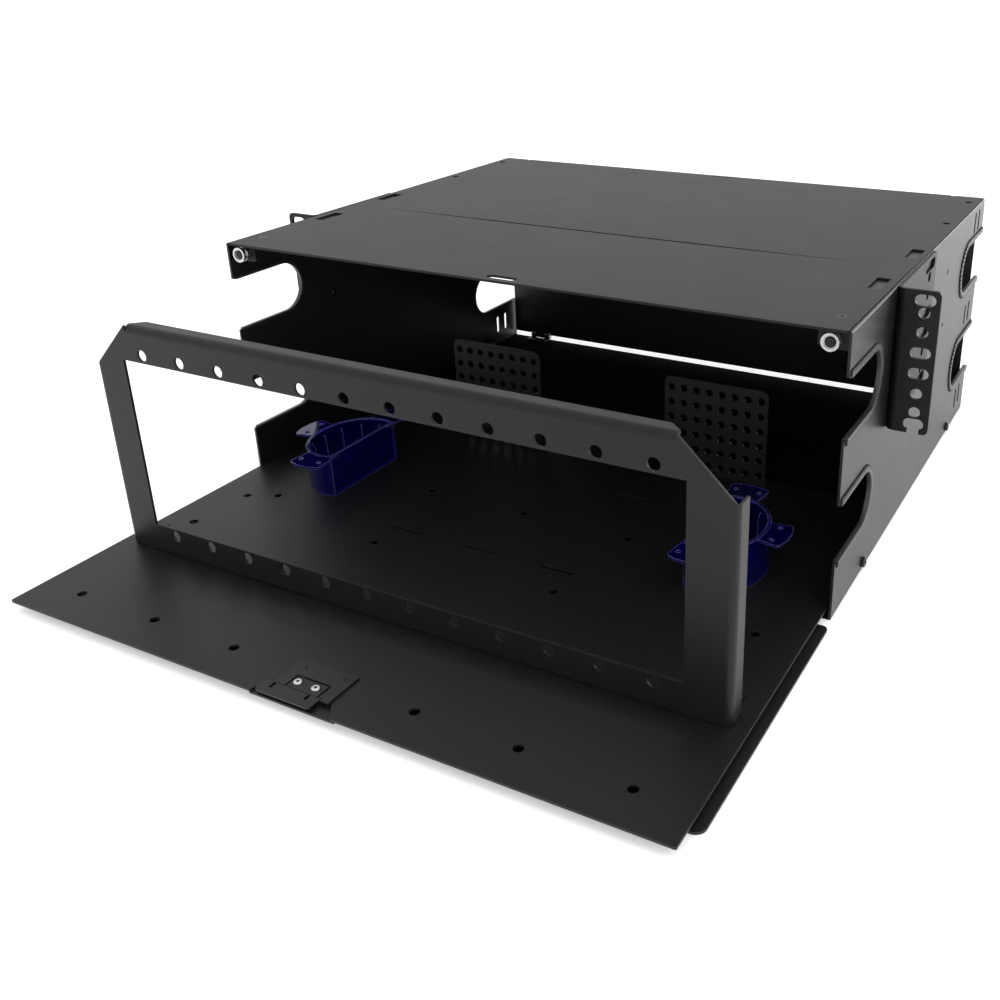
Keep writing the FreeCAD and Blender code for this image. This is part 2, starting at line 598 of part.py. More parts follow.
def hinge_parts(pivot, frame_strap, door_strap):
    """Chassis leaf with two outer knuckles, door leaf with the middle knuckle, and the pin.

    Each strap is a pair of Y limits and a pair of Z limits of the leaf's flat plate.
    """
    low = HINGE_X - HINGE_WIDTH / 2
    high = HINGE_X + HINGE_WIDTH / 2
    third = HINGE_WIDTH / 4
    room_y = (pivot[0] - HINGE_ROOM, pivot[0] + HINGE_ROOM)
    room_z = (pivot[1] - HINGE_ROOM - 1, pivot[1] + HINGE_ROOM)
    leaf = block((low, high), *frame_strap)
    leaf = leaf.cut(block((low + third, high - third), room_y, room_z))
    for limits in ((low, low + third), (high - third, high)):
        outer, hole = barrel(limits, pivot, HINGE_PIN_RADIUS)
        leaf = leaf.fuse(outer).cut(hole)
    door_leaf = block((low, high), *door_strap)
    middle = (low + third + HINGE_GAP, high - third - HINGE_GAP)
    for limits in ((low - 1, middle[0]), (middle[1], high + 1)):
        door_leaf = door_leaf.cut(block(limits, room_y, room_z))
    outer, hole = barrel(middle, pivot, HINGE_PIN_RADIUS + PIN_CLEARANCE)
    door_leaf = door_leaf.fuse(outer).cut(hole)
    pin = rod((low, pivot[0], pivot[1]), (1, 0, 0), HINGE_PIN_RADIUS, HINGE_WIDTH)
    return leaf, door_leaf, pin


def make_front_door():
    front_y = DOOR_REAR_Y - DOOR_LENGTH
    corners = [
        (vec(-DOOR_HALF_WIDTH, front_y, 0), 6.0),
        (vec(DOOR_HALF_WIDTH, front_y, 0), 6.0),
        (vec(DOOR_HALF_WIDTH, DOOR_REAR_Y, 0), 3.5),
        (vec(-DOOR_HALF_WIDTH, DOOR_REAR_Y, 0), 3.5),
    ]
    panel = plate(corners, vec(0, 0, SHEET))
    rivet_x = [side * HINGE_X + step for side in (-1, 1)
               for step in (-HINGE_RIVET_STEP, HINGE_RIVET_STEP)]
    tools = [rod((x, DOOR_RIVET_Y, -1), (0, 0, 1), 1.2, 4) for x in rivet_x]
    save("front_door", cut_all(panel, tools))
    y, z = FRONT_PIVOT
    leaf_z = (SHEET, SHEET + THIN_SHEET)
    parts = hinge_parts(FRONT_PIVOT, ((y + 1.2, 14.0), leaf_z), ((-26.0, y - 1.2), leaf_z))
    for name, part in zip(("front_hinge_leaf", "front_hinge_door_leaf", "front_hinge_pin"), parts):
        save_pair(name, part)


def make_rear_door():
    half = REAR_DOOR_HALF_WIDTH
    top = WALL_TOP - 0.5
    corners = [
        (vec(-half, REAR_DOOR_Y, REAR_DOOR_BOTTOM), 2.0),
        (vec(half, REAR_DOOR_Y, REAR_DOOR_BOTTOM), 2.0),
        (vec(half, REAR_DOOR_Y, top), 2.0),
        (vec(-half, REAR_DOOR_Y, top), 2.0),
    ]
    panel = plate(corners, vec(0, SHEET, 0))
    half_hinge = HINGE_WIDTH / 2 + 0.5
    notch = block((HINGE_X - half_hinge, HINGE_X + half_hinge), (REAR_DOOR_Y - 1, REAR_DOOR_Y + 3),
                  (0, REAR_PIVOT[1] + HINGE_ROOM))
    save("rear_door", cut_all(panel, [notch, mirrored(notch)]))
    y, z = REAR_PIVOT
    strap = ((337.0, y - 1.0), (SHEET, SHEET + THIN_SHEET))
    door_strap = ((REAR_DOOR_Y - THIN_SHEET, REAR_DOOR_Y), (z + 0.6, 18.5))
    parts = hinge_parts(REAR_PIVOT, strap, door_strap)
    for name, part in zip(("rear_hinge_leaf", "rear_hinge_door_leaf", "rear_hinge_pin"), parts):
        save_pair(name, part)


# ---------------------------------------------------------------- tray and what stands on it
def tray_tools():
    """Cutters for the round holes, tie slots, latch opening and narrow side slots of the tray."""
    low = TRAY_TOP - SHEET - 1
    through = SHEET + 2
    holes = [(TRAY_ROW_PITCH * i, TRAY_ROW_Y, TRAY_ROW_RADIUS) for i in range(-3, 4) if i]
    holes += [(side * x, y, radius) for side in (-1, 1) for x, y, radius in TRAY_SIDE_HOLES]
    holes.append(TRAY_MIDDLE_HOLE)
    tools = [rod((x, y, low), (0, 0, 1), radius, through) for x, y, radius in holes]
    length, width = TRAY_SLOT_SIZE
    tools += [stadium((x, y, TRAY_TOP), length, width, "x", "z") for y in TRAY_SLOT_Y for x in TRAY_SLOT_X]
    tools.append(block(*TRAY_OPENING, (low, low + through)))
    side_slot = block((200.9, 201.9), (-104.0, -95.5), (low, low + through))
    return tools + [side_slot, mirrored(side_slot)]


def make_tray():
    low = TRAY_TOP - SHEET
    notch_left, notch_right = TRAY_NOTCH
    corners = [
        (vec(-TRAY_HALF_WIDTH, TRAY_FRONT_Y, low), 1.0),
        (vec(notch_left[0], TRAY_FRONT_Y, low), 1.5),
        (vec(notch_left[1], TRAY_NOTCH_Y, low), 0.8),
        (vec(notch_right[0], TRAY_NOTCH_Y, low), 0.8),
        (vec(notch_right[1], TRAY_FRONT_Y, low), 1.5),
        (vec(TRAY_HALF_WIDTH, TRAY_FRONT_Y, low), 1.0),
        (vec(TRAY_HALF_WIDTH, TRAY_REAR_Y, low), 4.0),
        (vec(-TRAY_HALF_WIDTH, TRAY_REAR_Y, low), 4.0),
    ]
    tray = cut_all(plate(corners, vec(0, 0, SHEET)), tray_tools())
    strap_z = (low - THIN_SHEET, low)
    strap = block(LATCH_STRAP_X, LATCH_STRAP_Y, strap_z)
    for limits in ((LATCH_STRAP_X[0], -LATCH_STRAP_END_X), (LATCH_STRAP_END_X, LATCH_STRAP_X[1])):
        strap = strap.fuse(block(limits, (LATCH_STRAP_Y[0], LATCH_STRAP_END_Y), strap_z))
    save("tray", tray.fuse(strap))


def make_latch():
    """Finger latch in the tray's front edge: fixed cover plate, moving lever, hook and two screws."""
    top = TRAY_TOP + THIN_SHEET
    through = (TRAY_TOP - 1, top + 1)
    cover = block(LATCH_COVER_X, LATCH_COVER_Y, (TRAY_TOP, top))
    opening = block((-LATCH_COVER_OPENING, LATCH_COVER_OPENING),
                    (LATCH_COVER_Y[0] - 1, LATCH_OPENING_REAR), through)
    save("latch_cover", cover.fuse(block(*LATCH_COVER_EAR, (TRAY_TOP, top))).cut(opening))
    half = LATCH_HALF_WIDTH
    left, right = LATCH_LIP_X
    lip_rear_y = LATCH_FOLD_Y - LATCH_LIP_GAP
    tongue = block((-half, half), (lip_rear_y, LATCH_REAR_Y), (TRAY_TOP, top))
    lip_corners = [
        (vec(left, LATCH_FRONT_Y, TRAY_TOP), 2.5),
        (vec(right, LATCH_FRONT_Y, TRAY_TOP), 2.5),
        (vec(right, lip_rear_y, TRAY_TOP), 0.5),
        (vec(left, lip_rear_y, TRAY_TOP), 0.5),
    ]
    lip = plate(lip_corners, vec(0, 0, THIN_SHEET))
    half_slot = LATCH_SLOT_WIDTH / 2
    tools = [block((x - half_slot, x + half_slot), LATCH_SLOT_Y, through) for x in LATCH_SLOT_X]
    tools.append(block((-half, half), (lip_rear_y - 0.1, LATCH_FOLD_Y + 0.2), (top - LATCH_SCORE, top + 1)))
    screw_holes = [rod((x, LATCH_SCREW_Y, 0), (0, 0, 1), SCREW_SHANK, 2 * TRAY_TOP) for x in LATCH_SCREW_X]
    save("latch_lever", cut_all(tongue.fuse(lip), tools + screw_holes))
    save("latch_hook", cut_all(block(*LATCH_HOOK), screw_holes))
    for name, x in zip(("left", "right"), LATCH_SCREW_X):
        screw = button_screw((x, LATCH_SCREW_Y, top), (0, 0, 1), top - 5.0, 2.4, 1.3)
        save("latch_screw_" + name, screw)


def frame_top_flange(half):
    """Flange folded to the rear along the top; its ends run in towards the free edge."""
    rear_y = FRAME_Y + FRAME_TOP_DEPTH
    spine = [(rear_y, FRAME_TOP), (FRAME_Y, FRAME_TOP), (FRAME_Y, FRAME_TOP - 12)]
    run = vec(2 * half, 0, 0)
    flange = folded(spine, SHEET, lambda u, v: vec(-half, u, v), run, FRAME_BEND)
    corner_y = FRAME_Y + FRAME_BEND + SHEET
    rear_half = half - FRAME_FLANGE_RUN
    outline = [(-half, FRAME_Y - 1), (half, FRAME_Y - 1), (half, corner_y), (rear_half, rear_y),
               (-rear_half, rear_y), (-half, corner_y)]
    keep = plate([(vec(x, y, FRAME_TOP - 13), 0) for x, y in outline], vec(0, 0, 14))
    return flange.common(keep)


def frame_tools():
    """Cutters for the adapter opening, the bays' rivet holes and the foot's screw holes."""
    wide, high = BAY_OPENING
    through = (FRAME_Y - 1, FRAME_Y + SHEET + 1)
    tools = [block((-wide / 2, wide / 2), through, (BAY_CENTRE_Z - high / 2, BAY_CENTRE_Z + high / 2))]
    for i in range(BAYS):
        x = (i - (BAYS - 1) / 2) * BAY_PITCH
        for dz in (-BAY_HOLE_SPACING / 2, BAY_HOLE_SPACING / 2):
            tools.append(rod((x, through[0], BAY_CENTRE_Z + dz), (0, 1, 0), BAY_HOLE_RADIUS, SHEET + 2))
    for x in FRAME_SCREW_X:
        tools.append(rod((x, FRAME_SCREW_Y, TRAY_TOP - 1), (0, 0, 1), SCREW_SHANK, 6))
    return tools


def make_adapter_frame():
    """Upright frame for twelve adapter plates, folded back along the top, the sides and the foot."""
    foot = TRAY_TOP
    face_low = foot + FRAME_FOOT_GROOVE
    rear_y = FRAME_Y + FRAME_SIDE_DEPTH
    foot_rear_y = FRAME_Y + FRAME_FOOT_DEPTH
    # face and side flanges in one U-shaped profile, seen from above
    spine = [(-FRAME_HALF_WIDTH, rear_y), (-FRAME_HALF_WIDTH, FRAME_Y), (FRAME_HALF_WIDTH, FRAME_Y),
             (FRAME_HALF_WIDTH, rear_y)]
    body = folded(spine, SHEET, lambda u, v: vec(u, v, face_low), vec(0, 0, FRAME_TOP - face_low),
                  FRAME_BEND)
    # the upper corners are cut off at 45 degrees
    flange_half = FRAME_HALF_WIDTH - FRAME_CHAMFER - 1.0
    keep = block((-FRAME_HALF_WIDTH - 1, FRAME_HALF_WIDTH + 1), (FRAME_Y - 1, rear_y + 1),
                 (face_low - 1, FRAME_TOP - FRAME_CHAMFER))
    shoulder = FRAME_TOP - FRAME_CHAMFER - 1
    face_points = [(-FRAME_HALF_WIDTH - 1, shoulder), (-flange_half, FRAME_TOP), (flange_half, FRAME_TOP),
                   (FRAME_HALF_WIDTH + 1, shoulder)]
    upper = plate([(vec(x, FRAME_Y - 1, z), 0) for x, z in face_points], vec(0, SHEET + 1, 0))
    body = body.common(keep.fuse(upper))
    fold_room = block((-flange_half, flange_half), (FRAME_Y - 1, FRAME_Y + FRAME_BEND + SHEET),
                      (FRAME_TOP - 6, FRAME_TOP + 1))
    body = body.cut(fold_room).fuse(frame_top_flange(flange_half))
    foot_half = FRAME_FOOT_HALF
    foot_flange = block((-foot_half, foot_half), (FRAME_Y + SHEET, foot_rear_y), (foot, foot + SHEET))
    foot_join = block((-foot_half, foot_half), (FRAME_Y + SHEET / 2, FRAME_Y + SHEET), (foot, face_low + 1))
    body = body.fuse(foot_flange).fuse(foot_join)
    save("adapter_frame", cut_all(body, frame_tools()))
    for name, x in zip(("left", "right"), FRAME_SCREW_X):
        seat = (x, FRAME_SCREW_Y, foot + SHEET)
        save("frame_screw_" + name, button_screw(seat, (0, 0, 1), SHEET, 3.4, 2.0))


def make_lacing_plates():
    """Upright plate with a grid of holes for tie wraps, on a foot folded to the rear."""
    low = TRAY_TOP
    left = LACING_X - LACING_WIDTH / 2
    right = LACING_X + LACING_WIDTH / 2
    corners = [
        (vec(left, LACING_Y, low), 0.8),
        (vec(right, LACING_Y, low), 0.8),
        (vec(right, LACING_Y, LACING_TOP), 5.0),
        (vec(left, LACING_Y, LACING_TOP), 5.0),
    ]
    upright = plate(corners, vec(0, SHEET, 0))
    foot = block((left + 2, right - 2), (LACING_Y + SHEET - 0.2, TRAY_REAR_Y), (low, low + SHEET))
    tools = []
    for i in range(LACING_COLUMNS):
        for j in range(LACING_ROWS):
            x = LACING_X + (i - (LACING_COLUMNS - 1) / 2) * LACING_PITCH[0]
            z = LACING_MIDDLE_Z + (j - (LACING_ROWS - 1) / 2) * LACING_PITCH[1]
            tools.append(rod((x, LACING_Y - 1, z), (0, 1, 0), LACING_HOLE_RADIUS, SHEET + 2))
    save_pair("lacing_plate", cut_all(upright.fuse(foot), tools))


def spool_prism(half_x, half_y, flat_x, z, height):
    """Upright oval prism about the spool's axis, cut off flat at flat_x."""
    centre = vec(SPOOL_X, SPOOL_Y, z)
    curve = Part.Ellipse(centre + vec(0, half_y, 0), centre + vec(half_x, 0, 0), centre)
    prism = Part.Face(Part.Wire([curve.toShape()])).extrude(vec(0, 0, height))
    wide = (flat_x, SPOOL_X + half_x + 1)
    deep = (SPOOL_Y - half_y - 1, SPOOL_Y + half_y + 1)
    keep = block(wide, deep, (z, z + height))
    return prism.common(keep)


def spool_tab(out, body, reach, tip, low):
    """Fan-shaped tab pointing along out; body is the oval's half axis on that side."""
    side = vec(-out.y, out.x, 0)
    base = vec(SPOOL_X, SPOOL_Y, low)
    edge = body + reach - SPOOL_TAB_BOW
    corners = [
        (base + out * (body - 9) - side * SPOOL_TAB_FOOT, 0),
        (base + out * edge - side * tip, 2.5),
        (base + out * (edge + SPOOL_TAB_BOW) - side * (tip * 0.4), 8.0),
        (base + out * (edge + SPOOL_TAB_BOW) + side * (tip * 0.4), 8.0),
        (base + out * edge + side * tip, 2.5),
        (base + out * (body - 9) + side * SPOOL_TAB_FOOT, 0),
    ]
    tab = plate(corners, vec(0, 0, SPOOL_TAB_SHEET))
    tools = []
    for step in (-SPOOL_TAB_HOLES, SPOOL_TAB_HOLES):
        spot = base + out * (body + reach - SPOOL_HOLE_INSET) + side * step
        tools.append(rod((spot.x, spot.y, low - 1), (0, 0, 1), SPOOL_TAB_HOLE, SPOOL_TAB_SHEET + 2))
    return cut_all(tab, tools)


def make_spools():
    """Hollow fibre spool with one flat side and three flat retaining tabs around its top rim."""
    half_x, half_y = SPOOL_HALF
    low = TRAY_TOP
    tab_low = low + SPOOL_HEIGHT - SPOOL_TAB_SHEET
    body = spool_prism(half_x, half_y, SPOOL_FLAT_X, low, SPOOL_HEIGHT)
    side_tip, end_tip = SPOOL_TAB_TIP
    side_reach, end_reach = SPOOL_TAB_REACH
    for out, half, reach, tip in ((vec(1, 0, 0), half_x, side_reach, side_tip),
                                  (vec(0, 1, 0), half_y, end_reach, end_tip),
                                  (vec(0, -1, 0), half_y, end_reach, end_tip)):
        body = body.fuse(spool_tab(out, half, reach, tip, tab_low))
    wall = SPOOL_WALL
    hollow = spool_prism(half_x - wall, half_y - wall, SPOOL_FLAT_X + wall, low + wall, SPOOL_HEIGHT)
    floor_hole = spool_prism(half_x * 0.6, half_y * 0.6, SPOOL_FLAT_X + 4 * wall, low - 1, wall + 2)
    save_pair("fibre_spool", body.cut(hollow).cut(floor_hole))


def main():
    os.makedirs("parts", exist_ok=True)
    make_walls()
    make_floor()
    make_rails()
    make_top()
    make_magnets()
    make_ears()
    make_front_door()
    make_rear_door()
    make_tray()
    make_latch()
    make_adapter_frame()
    make_lacing_plates()
    make_spools()


main()
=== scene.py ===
import bpy
import bmesh
import json
import math
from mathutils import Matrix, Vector


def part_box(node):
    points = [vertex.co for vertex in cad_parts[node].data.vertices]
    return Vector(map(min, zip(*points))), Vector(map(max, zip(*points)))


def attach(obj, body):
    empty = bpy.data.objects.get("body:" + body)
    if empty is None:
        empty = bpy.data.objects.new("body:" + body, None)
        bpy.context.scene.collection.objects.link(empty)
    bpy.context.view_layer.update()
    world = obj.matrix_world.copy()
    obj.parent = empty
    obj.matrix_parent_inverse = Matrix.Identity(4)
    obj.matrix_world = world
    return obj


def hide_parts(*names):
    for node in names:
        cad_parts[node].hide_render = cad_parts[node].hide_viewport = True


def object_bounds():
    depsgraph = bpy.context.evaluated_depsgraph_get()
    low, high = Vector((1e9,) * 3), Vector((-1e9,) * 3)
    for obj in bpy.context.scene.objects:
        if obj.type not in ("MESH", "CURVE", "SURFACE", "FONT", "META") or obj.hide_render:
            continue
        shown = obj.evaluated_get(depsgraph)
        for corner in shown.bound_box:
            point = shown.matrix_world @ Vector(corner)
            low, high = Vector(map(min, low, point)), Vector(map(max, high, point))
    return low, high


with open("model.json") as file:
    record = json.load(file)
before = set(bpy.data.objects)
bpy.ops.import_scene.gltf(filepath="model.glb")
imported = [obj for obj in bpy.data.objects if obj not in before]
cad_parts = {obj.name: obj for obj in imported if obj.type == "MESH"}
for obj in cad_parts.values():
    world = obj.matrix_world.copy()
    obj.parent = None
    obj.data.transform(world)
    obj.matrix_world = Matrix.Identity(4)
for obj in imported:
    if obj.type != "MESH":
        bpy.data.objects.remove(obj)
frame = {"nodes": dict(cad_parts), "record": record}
cad_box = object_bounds()
NODES = frame["nodes"]
MM = 0.001

# ---------------------------------------------------------------- camera
CAMERA_AT = (0.35815, -0.70375, 0.35500)
CAMERA_TURN = (66.647, 0.703, 27.656)       # Euler angles in degrees
SENSOR = 36.0                  # sensor width and focal length in millimetres
FOCAL = 39.95
CAMERA_SHIFT = (-0.1129, -0.0781)
CAMERA_CLIP = (0.05, 50)       # nearest and furthest distance drawn

# ---------------------------------------------------------------- light and floor, in metres
AREA_LIGHTS = {                # place, target, size and power
    "key": ((1.6, -0.6, 1.9), (0.1, 0, 0.1), (1.2, 1.2), 9.5),
    "side": ((0.95, 1.7, 0.24), (0.2, 0, 0.05), (1.1, 0.4), 13.0),
}
WORLD_LIGHT = 1.0
FLOOR_HALF = 12.0
FLOOR_GAP = 0.0002             # keeps the floor clear of the object's underside
PAPER_WHITE = 0.95
PAPER_ROUGHNESS = 0.9
PAPER_GLOW = 0.35              # light table under the object

# ---------------------------------------------------------------- looks
BLACK = (0.006, 0.006, 0.0062)
COATS = {                      # colour, roughness and specular level; copies of one black powder coat, made lighter or darker per part to paint in how light falls on it
    "chassis_coat": ((0.0075, 0.0075, 0.0077), 0.39, 0.42),
    # the pan's darker, duller copy paints the shade inside the box
    "pan_coat": ((0.004, 0.004, 0.004), 0.85, 0.03),
    "top_coat": (BLACK, 0.47, 0.31),
    "door_coat": (BLACK, 0.42, 0.4),
    "tray_coat": (BLACK, 0.42, 0.34),
    "frame_coat": ((0.0082, 0.0082, 0.0084), 0.38, 0.26),
    "ear_coat": ((0.004, 0.004, 0.004), 0.5, 0.3),
    "latch_coat": (BLACK, 0.38, 0.4),
    "hinge_coat": ((0.005, 0.005, 0.005), 0.4, 0.4),
}
PLATINGS = {                   # grey level and roughness
    "hinge_pin": (0.5, 0.3),
    "black_screw": (0.045, 0.3),
    "bright_screw": (0.72, 0.2),
    "magnet_steel": (0.6, 0.22),
}
MATT_MOULDINGS = {             # grey level, roughness and specular level
    "trim_rubber": (0.02, 0.4, 0.75),
    "glide_plastic": (0.004, 0.8, 0.05),
}
COAT_GRAIN = 1350              # noise scale of the powder coat's pebbles
COAT_EDGE = 0.0003             # radius of its lighter edges, painted partly as rubbed wear and partly as a painted highlight, in metres
PLASTIC_HIGHLIGHT_EDGE = 0.0005          # radius of the blue plastic's edges that carry a painted highlight and a painted glow, in metres
EDGE_PAINTED_GLOW = 0.16               # strength of the painted glow on the edges of the blue plastic, which is no lamp

# ---------------------------------------------------------------- sizes in millimetres
WALL_SHEET = 1.5
TRIM_SIDE = 1.2                # thickness of the edge trim on the outer face of the wall
TRIM_SIDE_INSIDE = 0.5         # and on its inner face
TRIM_INSET = 1.0               # how far it stands into the cut-out
TRIM_LAP = 3.5                 # how far it laps over the wall outside
TRIM_LAP_INSIDE = 0.9          # and inside
TRIM_CORNER = 0.35             # size of its rounded corners
TRIM_LIP = (0.25, 0.15)        # chamfer under the teeth's tips: along the wall, off the wall
TRIM_TOOTH = 3.0               # pitch of the rounded teeth along its outer edge
TRIM_TOOTH_DEPTH = 2.3
TRIM_SHADOW_SEAT = 0.3                # thickness of the dark seat under the teeth, a painted shadow in the gaps between the teeth and the wall
TRIM_STEPS_PER_TOOTH = 8
TRIM_SHORT = 2.6               # the front trims stop this far behind the wall's front edge
RIVET_RADIUS = 1.4
RIVET_HEIGHT = 0.5
RIVET_SKIRT = 0.1              # height of its straight side
RIVET_ROOT = 0.4               # how far it reaches into the cover
RIVET_STEPS = 20
RIVET_X = (-12.3, 13.2)        # left and right rivet
RIVET_INSET = 18.3             # from the cover's front edge
NUT_RADIUS = 3.6
NUT_HEIGHT = 1.9
NUT_CHAMFER = (0.5, 0.4)       # across and along its axis
NUT_TURN = 12                  # degrees about the screw's axis
SCREW_HOLE = 1.5
HEX = 6                        # sides of a nut and of a socket
CATCH_STEPS = 64
CATCH_DISH_RADIUS = 3.15       # dark middle of a catch
CATCH_DISH_DEPTH = 0.85
CATCH_BACK_DEPTH = 0.95        # back of the dish piece
CATCH_HEAD_RADIUS = 2.5        # domed screw head in the dish
CATCH_HEAD_DEPTH = 0.05        # at its middle
CATCH_HEAD_CURVE = 0.03        # times the squared radius, the depth gained outward
CROSS_REACH = 1.5              # half length, half width and depth of the head's cross recess
CROSS_HALF_WIDTH = 0.32
CROSS_DEPTH = 0.28
CATCH_RADII = (0.0, 0.35, 0.8, 1.2, CROSS_REACH, 2.0, CATCH_HEAD_RADIUS, 2.7, 2.9, CATCH_DISH_RADIUS)
SOCKET_SHARE = 0.38            # hex socket's radius over the screw head's
# Points of the dark hex bottom that paints the shade in the socket: share of the socket's radius, height from
# the screw's top.
SOCKET_PROFILE = ((0.0, -0.6), (1.0, -0.6), (1.0, -0.2), (0.8, -0.45), (0.0, -0.5))
BEAD_SIDES = 8
SPOOL_STEPS = 96
SPOOL_BEAD = 0.32              # radius of the bead on the spool's rim
SPOOL_FLAT_STEPS = 24
SPOOL_FOOT_Z = 1.0             # height of the bead near the spool's foot
SPOOL_RIBS = 7
SPOOL_RIB_SPAN = 1.45          # the ribs spread this far to each side, in radians about the axis
SPOOL_RIB_ROOT = 0.8           # half a rib's width where it leaves the wall
SPOOL_RIB_TIP = 0.45           # and near its rounded nose
SPOOL_RIB_NOSE = 0.2
SPOOL_RIB_SINK = 0.6           # how far its root lies in the wall
SPOOL_WALL = 2.0
SPOOL_SIDE_REACH = 14.0        # how far the side tab stands out from the body
SPOOL_END_REACH = 17.0         # how far the front and rear tabs do
SPOOL_HALF_X = 29.4            # half axis of the oval body across the tray
SPOOL_FLAT = 9.0               # from the oval's axis to the flat side
SPOOL_HOLE_INSET = 8.5         # from a tab's end to its holes
SPOOL_HOLE_STEP = 7.7          # from a tab's centre line to each hole
EYELET_STEPS = 20
# Points of an eyelet's section: radius, height from the tab's top.
EYELET = ((1.05, -0.2), (1.05, 0.3), (1.25, 0.45), (1.6, 0.45), (1.85, 0.3), (1.9, -0.2))


def make_camera():
    """Camera in front of the object, to its right and above it."""
    data = bpy.data.cameras.new("camera")
    data.sensor_width = SENSOR
    data.lens = FOCAL
    data.shift_x, data.shift_y = CAMERA_SHIFT
    data.clip_start, data.clip_end = CAMERA_CLIP
    camera = bpy.data.objects.new("camera", data)
    camera.location = CAMERA_AT
    camera.rotation_euler = [math.radians(a) for a in CAMERA_TURN]
    bpy.context.scene.collection.objects.link(camera)
    bpy.context.scene.camera = camera


def make_floor():
    """Pale paper just under the object."""
    level = cad_box[0].z - FLOOR_GAP
    corners = [(x * FLOOR_HALF, y * FLOOR_HALF, level) for x, y in ((-1, -1), (1, -1), (1, 1), (-1, 1))]
    mesh = bpy.data.meshes.new("floor")
    mesh.from_pydata(corners, [], [(0, 1, 2, 3)])
    floor = bpy.data.objects.new("floor", mesh)
    bpy.context.scene.collection.objects.link(floor)
    paper = bpy.data.materials.new("paper")
    paper.use_nodes = True
    base = paper.node_tree.nodes["Principled BSDF"]
    base.inputs["Base Color"].default_value = (PAPER_WHITE, PAPER_WHITE, PAPER_WHITE, 1)
    base.inputs["Roughness"].default_value = PAPER_ROUGHNESS
    base.inputs["Emission Color"].default_value = (1, 1, 1, 1)
    base.inputs["Emission Strength"].default_value = PAPER_GLOW
    mesh.materials.append(paper)


def make_light():
    """White surroundings and two soft area lights that the camera doesn't see."""
    world = bpy.data.worlds.new("studio")
    bpy.context.scene.world = world
    world.use_nodes = True
    background = world.node_tree.nodes["Background"]
    background.inputs["Color"].default_value = (1, 1, 1, 1)
    background.inputs["Strength"].default_value = WORLD_LIGHT
    for name, (place, target, size, power) in AREA_LIGHTS.items():
        data = bpy.data.lights.new(name, "AREA")
        data.shape = "RECTANGLE"
        data.size, data.size_y = size
        data.energy = power
        lamp = bpy.data.objects.new(name, data)
        lamp.visible_camera = False
        lamp.location = place
        lamp.rotation_euler = (Vector(target) - Vector(place)).to_track_quat("-Z", "Y").to_euler()
        bpy.context.scene.collection.objects.link(lamp)
    bpy.context.scene.view_settings.view_transform = "Standard"


# ---------------------------------------------------------------- materials
class Shader:
    """A material with its Principled shader and short ways to add nodes."""

    def __init__(self, name, colour, roughness, metallic=0.0, specular=0.5):
        self.material = bpy.data.materials.new(name)
        self.material.use_nodes = True
        self.tree = self.material.node_tree
        self.base = self.tree.nodes["Principled BSDF"]
        self.base.inputs["Base Color"].default_value = (*colour, 1)
        self.base.inputs["Roughness"].default_value = roughness
        self.base.inputs["Metallic"].default_value = metallic
        self.base.inputs["Specular IOR Level"].default_value = specular

    def add(self, kind, **values):
        """New node with some of its properties set."""
        node = self.tree.nodes.new(kind)
        for key, value in values.items():
            setattr(node, key, value)
        return node

    def link(self, source, target):
        self.tree.links.new(source, target)

    def drive(self, name, source):
        """Links an output to one of the shader's own inputs."""
        self.link(source, self.base.inputs[name])

    def noise(self, scale, detail, roughness=0.5):
        """Noise fixed to the object, its scale per metre."""
        place = self.add("ShaderNodeTexCoord")
        node = self.add("ShaderNodeTexNoise")
        node.inputs["Scale"].default_value = scale
        node.inputs["Detail"].default_value = detail
        node.inputs["Roughness"].default_value = roughness
        self.link(place.outputs["Object"], node.inputs["Vector"])
        return node.outputs["Fac"]

    def ramp(self, source, low, high, dark, light):
        """Turns a 0 to 1 value into a colour between dark and light."""
        node = self.add("ShaderNodeValToRGB")
        node.color_ramp.elements[0].position = low
        node.color_ramp.elements[1].position = high
        node.color_ramp.elements[0].color = (*dark, 1)
        node.color_ramp.elements[1].color = (*light, 1)
        self.link(source, node.inputs["Fac"])
        return node.outputs["Color"]

    def span(self, source, low, high, to_low, to_high):
        """Turns the values from low to high into to_low to to_high, and holds them there."""
        node = self.add("ShaderNodeMapRange")
        for key, value in (("From Min", low), ("From Max", high), ("To Min", to_low), ("To Max", to_high)):
            node.inputs[key].default_value = value
        self.link(source, node.inputs["Value"])
        return node.outputs["Result"]

    def combine(self, operation, first, second):
        """A Math node on two outputs."""
        node = self.add("ShaderNodeMath", operation=operation)
        self.link(first, node.inputs[0])
        self.link(second, node.inputs[1])
        return node.outputs[0]

    def tint(self, tone, amount, colour):
        """Makes the base colour go from the tone to a colour as the amount goes from 0 to 1."""
        mix = self.add("ShaderNodeMix", data_type="RGBA")
        mix.inputs["B"].default_value = (*colour, 1)
        self.link(amount, mix.inputs["Factor"])
        self.link(tone, mix.inputs["A"])
        self.drive("Base Color", mix.outputs["Result"])

    def bump(self, height, distance, strength, below=None):
        """Bumped normal, on top of the normal below if one is given."""
        node = self.add("ShaderNodeBump")
        node.inputs["Distance"].default_value = distance
        node.inputs["Strength"].default_value = strength
        self.link(height, node.inputs["Height"])
        if below is not None:
            self.link(below, node.inputs["Normal"])
        return node.outputs["Normal"]


def bevel_edge_mask(shader, radius):
    """Rounded normal for the sheet edges, and a mask that is 1 on them."""
    bevel = shader.add("ShaderNodeBevel", samples=4)
    bevel.inputs["Radius"].default_value = radius
    flat = shader.add("ShaderNodeNewGeometry")
    alike = shader.add("ShaderNodeVectorMath", operation="DOT_PRODUCT")
    shader.link(bevel.outputs["Normal"], alike.inputs[0])
    shader.link(flat.outputs["Normal"], alike.inputs[1])
    mask = shader.span(alike.outputs["Value"], 0.99, 0.8, 0.0, 1.0)
    return bevel.outputs["Normal"], mask


